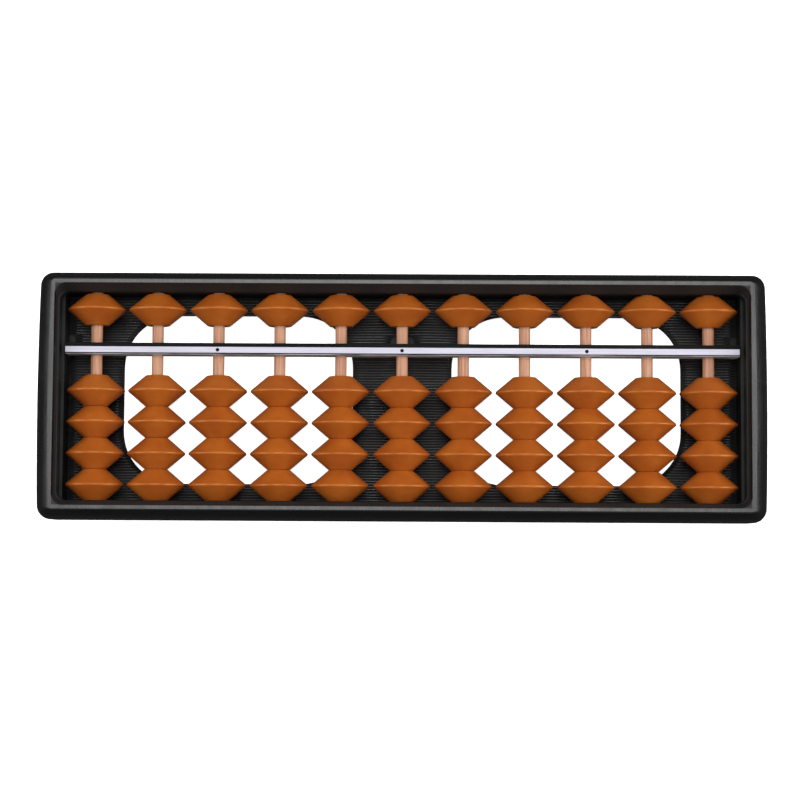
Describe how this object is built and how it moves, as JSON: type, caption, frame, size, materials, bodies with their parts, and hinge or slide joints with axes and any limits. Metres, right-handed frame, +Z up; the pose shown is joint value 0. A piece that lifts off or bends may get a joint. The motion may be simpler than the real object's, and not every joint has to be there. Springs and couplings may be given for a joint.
{
  "type": "abacus",
  "caption": "Soroban abacus: black moulded frame with an open-windowed floor, reckoning beam, rods, and brown double-cone beads that slide along the rods.",
  "frame": {"origin": "middle of the underside, with the abacus lying on its back", "axes": "+X along the length to the right, +Y away from the user towards the heaven beads, +Z up"},
  "size_m": [0.1846, 0.0628, 0.0165],
  "materials": {
    "frame_plastic": "satin black moulded plastic, finely ridged on the floor",
    "beam_plastic": "satin black moulded plastic",
    "inlay_plastic": "pale satin plastic strip with small black place dots",
    "bead_plastic": "satin brown plastic",
    "rod_bamboo": "pale smooth bamboo with fine lengthwise grain"
  },
  "bodies": {
    "frame": {"base_tray": "frame_plastic", "upper_frame": "frame_plastic", "beam": "beam_plastic", "beam_inlay": "inlay_plastic", "rods": "rod_bamboo"},
    "heaven_01": {"heaven_bead_01": "bead_plastic"},
    "earth_01_4": {"earth_bead_01_4": "bead_plastic"},
    "earth_01_3": {"earth_bead_01_3": "bead_plastic"},
    "earth_01_2": {"earth_bead_01_2": "bead_plastic"},
    "earth_01_1": {"earth_bead_01_1": "bead_plastic"},
    "heaven_02": {"heaven_bead_02": "bead_plastic"},
    "earth_02_4": {"earth_bead_02_4": "bead_plastic"},
    "earth_02_3": {"earth_bead_02_3": "bead_plastic"},
    "earth_02_2": {"earth_bead_02_2": "bead_plastic"},
    "earth_02_1": {"earth_bead_02_1": "bead_plastic"},
    "heaven_03": {"heaven_bead_03": "bead_plastic"},
    "earth_03_4": {"earth_bead_03_4": "bead_plastic"},
    "earth_03_3": {"earth_bead_03_3": "bead_plastic"},
    "earth_03_2": {"earth_bead_03_2": "bead_plastic"},
    "earth_03_1": {"earth_bead_03_1": "bead_plastic"},
    "heaven_04": {"heaven_bead_04": "bead_plastic"},
    "earth_04_4": {"earth_bead_04_4": "bead_plastic"},
    "earth_04_3": {"earth_bead_04_3": "bead_plastic"},
    "earth_04_2": {"earth_bead_04_2": "bead_plastic"},
    "earth_04_1": {"earth_bead_04_1": "bead_plastic"},
    "heaven_05": {"heaven_bead_05": "bead_plastic"},
    "earth_05_4": {"earth_bead_05_4": "bead_plastic"},
    "earth_05_3": {"earth_bead_05_3": "bead_plastic"},
    "earth_05_2": {"earth_bead_05_2": "bead_plastic"},
    "earth_05_1": {"earth_bead_05_1": "bead_plastic"},
    "heaven_06": {"heaven_bead_06": "bead_plastic"},
    "earth_06_4": {"earth_bead_06_4": "bead_plastic"},
    "earth_06_3": {"earth_bead_06_3": "bead_plastic"},
    "earth_06_2": {"earth_bead_06_2": "bead_plastic"},
    "earth_06_1": {"earth_bead_06_1": "bead_plastic"},
    "heaven_07": {"heaven_bead_07": "bead_plastic"},
    "earth_07_4": {"earth_bead_07_4": "bead_plastic"},
    "earth_07_3": {"earth_bead_07_3": "bead_plastic"},
    "earth_07_2": {"earth_bead_07_2": "bead_plastic"},
    "earth_07_1": {"earth_bead_07_1": "bead_plastic"},
    "heaven_08": {"heaven_bead_08": "bead_plastic"},
    "earth_08_4": {"earth_bead_08_4": "bead_plastic"},
    "earth_08_3": {"earth_bead_08_3": "bead_plastic"},
    "earth_08_2": {"earth_bead_08_2": "bead_plastic"},
    "earth_08_1": {"earth_bead_08_1": "bead_plastic"},
    "heaven_09": {"heaven_bead_09": "bead_plastic"},
    "earth_09_4": {"earth_bead_09_4": "bead_plastic"},
    "earth_09_3": {"earth_bead_09_3": "bead_plastic"},
    "earth_09_2": {"earth_bead_09_2": "bead_plastic"},
    "earth_09_1": {"earth_bead_09_1": "bead_plastic"},
    "heaven_10": {"heaven_bead_10": "bead_plastic"},
    "earth_10_4": {"earth_bead_10_4": "bead_plastic"},
    "earth_10_3": {"earth_bead_10_3": "bead_plastic"},
    "earth_10_2": {"earth_bead_10_2": "bead_plastic"},
    "earth_10_1": {"earth_bead_10_1": "bead_plastic"},
    "heaven_11": {"heaven_bead_11": "bead_plastic"},
    "earth_11_4": {"earth_bead_11_4": "bead_plastic"},
    "earth_11_3": {"earth_bead_11_3": "bead_plastic"},
    "earth_11_2": {"earth_bead_11_2": "bead_plastic"},
    "earth_11_1": {"earth_bead_11_1": "bead_plastic"}
  },
  "joints": [
    {"name": "heaven_01_slide", "type": "slide", "parent": "frame", "child": "heaven_01", "axis": [0, -1, 0], "range_m": [-0.0003, 0.0045]},
    {"name": "earth_01_4_slide", "type": "slide", "parent": "frame", "child": "earth_01_4", "axis": [0, 1, 0], "range_m": [0, 0.0051]},
    {"name": "earth_01_3_slide", "type": "slide", "parent": "frame", "child": "earth_01_3", "axis": [0, 1, 0], "range_m": [0, 0.0051]},
    {"name": "earth_01_2_slide", "type": "slide", "parent": "frame", "child": "earth_01_2", "axis": [0, 1, 0], "range_m": [0, 0.0051]},
    {"name": "earth_01_1_slide", "type": "slide", "parent": "earth_01_2", "child": "earth_01_1", "axis": [0, -1, 0], "range_m": [-0.0051, 0]},
    {"name": "heaven_02_slide", "type": "slide", "parent": "frame", "child": "heaven_02", "axis": [0, -1, 0], "range_m": [-0.0003, 0.0045]},
    {"name": "earth_02_4_slide", "type": "slide", "parent": "frame", "child": "earth_02_4", "axis": [0, 1, 0], "range_m": [0, 0.0051]},
    {"name": "earth_02_3_slide", "type": "slide", "parent": "frame", "child": "earth_02_3", "axis": [0, 1, 0], "range_m": [0, 0.0051]},
    {"name": "earth_02_2_slide", "type": "slide", "parent": "frame", "child": "earth_02_2", "axis": [0, 1, 0], "range_m": [0, 0.0051]},
    {"name": "earth_02_1_slide", "type": "slide", "parent": "earth_02_2", "child": "earth_02_1", "axis": [0, -1, 0], "range_m": [-0.0051, 0]},
    {"name": "heaven_03_slide", "type": "slide", "parent": "frame", "child": "heaven_03", "axis": [0, -1, 0], "range_m": [-0.0003, 0.0045]},
    {"name": "earth_03_4_slide", "type": "slide", "parent": "frame", "child": "earth_03_4", "axis": [0, 1, 0], "range_m": [0, 0.0051]},
    {"name": "earth_03_3_slide", "type": "slide", "parent": "frame", "child": "earth_03_3", "axis": [0, 1, 0], "range_m": [0, 0.0051]},
    {"name": "earth_03_2_slide", "type": "slide", "parent": "frame", "child": "earth_03_2", "axis": [0, 1, 0], "range_m": [0, 0.0051]},
    {"name": "earth_03_1_slide", "type": "slide", "parent": "earth_03_2", "child": "earth_03_1", "axis": [0, -1, 0], "range_m": [-0.0051, 0]},
    {"name": "heaven_04_slide", "type": "slide", "parent": "frame", "child": "heaven_04", "axis": [0, -1, 0], "range_m": [-0.0003, 0.0045]},
    {"name": "earth_04_4_slide", "type": "slide", "parent": "frame", "child": "earth_04_4", "axis": [0, 1, 0], "range_m": [0, 0.0051]},
    {"name": "earth_04_3_slide", "type": "slide", "parent": "frame", "child": "earth_04_3", "axis": [0, 1, 0], "range_m": [0, 0.0051]},
    {"name": "earth_04_2_slide", "type": "slide", "parent": "frame", "child": "earth_04_2", "axis": [0, 1, 0], "range_m": [0, 0.0051]},
    {"name": "earth_04_1_slide", "type": "slide", "parent": "earth_04_2", "child": "earth_04_1", "axis": [0, -1, 0], "range_m": [-0.0051, 0]},
    {"name": "heaven_05_slide", "type": "slide", "parent": "frame", "child": "heaven_05", "axis": [0, -1, 0], "range_m": [-0.0003, 0.0045]},
    {"name": "earth_05_4_slide", "type": "slide", "parent": "frame", "child": "earth_05_4", "axis": [0, 1, 0], "range_m": [0, 0.0051]},
    {"name": "earth_05_3_slide", "type": "slide", "parent": "frame", "child": "earth_05_3", "axis": [0, 1, 0], "range_m": [0, 0.0051]},
    {"name": "earth_05_2_slide", "type": "slide", "parent": "frame", "child": "earth_05_2", "axis": [0, 1, 0], "range_m": [0, 0.0051]},
    {"name": "earth_05_1_slide", "type": "slide", "parent": "earth_05_2", "child": "earth_05_1", "axis": [0, -1, 0], "range_m": [-0.0051, 0]},
    {"name": "heaven_06_slide", "type": "slide", "parent": "frame", "child": "heaven_06", "axis": [0, -1, 0], "range_m": [-0.0003, 0.0045]},
    {"name": "earth_06_4_slide", "type": "slide", "parent": "frame", "child": "earth_06_4", "axis": [0, 1, 0], "range_m": [0, 0.0051]},
    {"name": "earth_06_3_slide", "type": "slide", "parent": "frame", "child": "earth_06_3", "axis": [0, 1, 0], "range_m": [0, 0.0051]},
    {"name": "earth_06_2_slide", "type": "slide", "parent": "frame", "child": "earth_06_2", "axis": [0, 1, 0], "range_m": [0, 0.0051]},
    {"name": "earth_06_1_slide", "type": "slide", "parent": "earth_06_2", "child": "earth_06_1", "axis": [0, -1, 0], "range_m": [-0.0051, 0]},
    {"name": "heaven_07_slide", "type": "slide", "parent": "frame", "child": "heaven_07", "axis": [0, -1, 0], "range_m": [-0.0003, 0.0045]},
    {"name": "earth_07_4_slide", "type": "slide", "parent": "frame", "child": "earth_07_4", "axis": [0, 1, 0], "range_m": [0, 0.0051]},
    {"name": "earth_07_3_slide", "type": "slide", "parent": "frame", "child": "earth_07_3", "axis": [0, 1, 0], "range_m": [0, 0.0051]},
    {"name": "earth_07_2_slide", "type": "slide", "parent": "frame", "child": "earth_07_2", "axis": [0, 1, 0], "range_m": [0, 0.0051]},
    {"name": "earth_07_1_slide", "type": "slide", "parent": "earth_07_2", "child": "earth_07_1", "axis": [0, -1, 0], "range_m": [-0.0051, 0]},
    {"name": "heaven_08_slide", "type": "slide", "parent": "frame", "child": "heaven_08", "axis": [0, -1, 0], "range_m": [-0.0003, 0.0045]},
    {"name": "earth_08_4_slide", "type": "slide", "parent": "frame", "child": "earth_08_4", "axis": [0, 1, 0], "range_m": [0, 0.0051]},
    {"name": "earth_08_3_slide", "type": "slide", "parent": "frame", "child": "earth_08_3", "axis": [0, 1, 0], "range_m": [0, 0.0051]},
    {"name": "earth_08_2_slide", "type": "slide", "parent": "frame", "child": "earth_08_2", "axis": [0, 1, 0], "range_m": [0, 0.0051]},
    {"name": "earth_08_1_slide", "type": "slide", "parent": "earth_08_2", "child": "earth_08_1", "axis": [0, -1, 0], "range_m": [-0.0051, 0]},
    {"name": "heaven_09_slide", "type": "slide", "parent": "frame", "child": "heaven_09", "axis": [0, -1, 0], "range_m": [-0.0003, 0.0045]},
    {"name": "earth_09_4_slide", "type": "slide", "parent": "frame", "child": "earth_09_4", "axis": [0, 1, 0], "range_m": [0, 0.0051]},
    {"name": "earth_09_3_slide", "type": "slide", "parent": "frame", "child": "earth_09_3", "axis": [0, 1, 0], "range_m": [0, 0.0051]},
    {"name": "earth_09_2_slide", "type": "slide", "parent": "frame", "child": "earth_09_2", "axis": [0, 1, 0], "range_m": [0, 0.0051]},
    {"name": "earth_09_1_slide", "type": "slide", "parent": "earth_09_2", "child": "earth_09_1", "axis": [0, -1, 0], "range_m": [-0.0051, 0]},
    {"name": "heaven_10_slide", "type": "slide", "parent": "frame", "child": "heaven_10", "axis": [0, -1, 0], "range_m": [-0.0003, 0.0045]},
    {"name": "earth_10_4_slide", "type": "slide", "parent": "frame", "child": "earth_10_4", "axis": [0, 1, 0], "range_m": [0, 0.0051]},
    {"name": "earth_10_3_slide", "type": "slide", "parent": "frame", "child": "earth_10_3", "axis": [0, 1, 0], "range_m": [0, 0.0051]},
    {"name": "earth_10_2_slide", "type": "slide", "parent": "frame", "child": "earth_10_2", "axis": [0, 1, 0], "range_m": [0, 0.0051]},
    {"name": "earth_10_1_slide", "type": "slide", "parent": "earth_10_2", "child": "earth_10_1", "axis": [0, -1, 0], "range_m": [-0.0051, 0]},
    {"name": "heaven_11_slide", "type": "slide", "parent": "frame", "child": "heaven_11", "axis": [0, -1, 0], "range_m": [-0.0003, 0.0045]},
    {"name": "earth_11_4_slide", "type": "slide", "parent": "frame", "child": "earth_11_4", "axis": [0, 1, 0], "range_m": [0, 0.0051]},
    {"name": "earth_11_3_slide", "type": "slide", "parent": "frame", "child": "earth_11_3", "axis": [0, 1, 0], "range_m": [0, 0.0051]},
    {"name": "earth_11_2_slide", "type": "slide", "parent": "frame", "child": "earth_11_2", "axis": [0, 1, 0], "range_m": [0, 0.0051]},
    {"name": "earth_11_1_slide", "type": "slide", "parent": "earth_11_2", "child": "earth_11_1", "axis": [0, -1, 0], "range_m": [-0.0051, 0]}
  ],
  "couplings": [
    {"joint": "earth_01_3_slide", "follows": "earth_01_4_slide", "ratio": 1},
    {"joint": "earth_01_2_slide", "follows": "earth_01_4_slide", "ratio": 1},
    {"joint": "earth_02_3_slide", "follows": "earth_02_4_slide", "ratio": 1},
    {"joint": "earth_02_2_slide", "follows": "earth_02_4_slide", "ratio": 1},
    {"joint": "earth_03_3_slide", "follows": "earth_03_4_slide", "ratio": 1},
    {"joint": "earth_03_2_slide", "follows": "earth_03_4_slide", "ratio": 1},
    {"joint": "earth_04_3_slide", "follows": "earth_04_4_slide", "ratio": 1},
    {"joint": "earth_04_2_slide", "follows": "earth_04_4_slide", "ratio": 1},
    {"joint": "earth_05_3_slide", "follows": "earth_05_4_slide", "ratio": 1},
    {"joint": "earth_05_2_slide", "follows": "earth_05_4_slide", "ratio": 1},
    {"joint": "earth_06_3_slide", "follows": "earth_06_4_slide", "ratio": 1},
    {"joint": "earth_06_2_slide", "follows": "earth_06_4_slide", "ratio": 1},
    {"joint": "earth_07_3_slide", "follows": "earth_07_4_slide", "ratio": 1},
    {"joint": "earth_07_2_slide", "follows": "earth_07_4_slide", "ratio": 1},
    {"joint": "earth_08_3_slide", "follows": "earth_08_4_slide", "ratio": 1},
    {"joint": "earth_08_2_slide", "follows": "earth_08_4_slide", "ratio": 1},
    {"joint": "earth_09_3_slide", "follows": "earth_09_4_slide", "ratio": 1},
    {"joint": "earth_09_2_slide", "follows": "earth_09_4_slide", "ratio": 1},
    {"joint": "earth_10_3_slide", "follows": "earth_10_4_slide", "ratio": 1},
    {"joint": "earth_10_2_slide", "follows": "earth_10_4_slide", "ratio": 1},
    {"joint": "earth_11_3_slide", "follows": "earth_11_4_slide", "ratio": 1},
    {"joint": "earth_11_2_slide", "follows": "earth_11_4_slide", "ratio": 1}
  ]
}
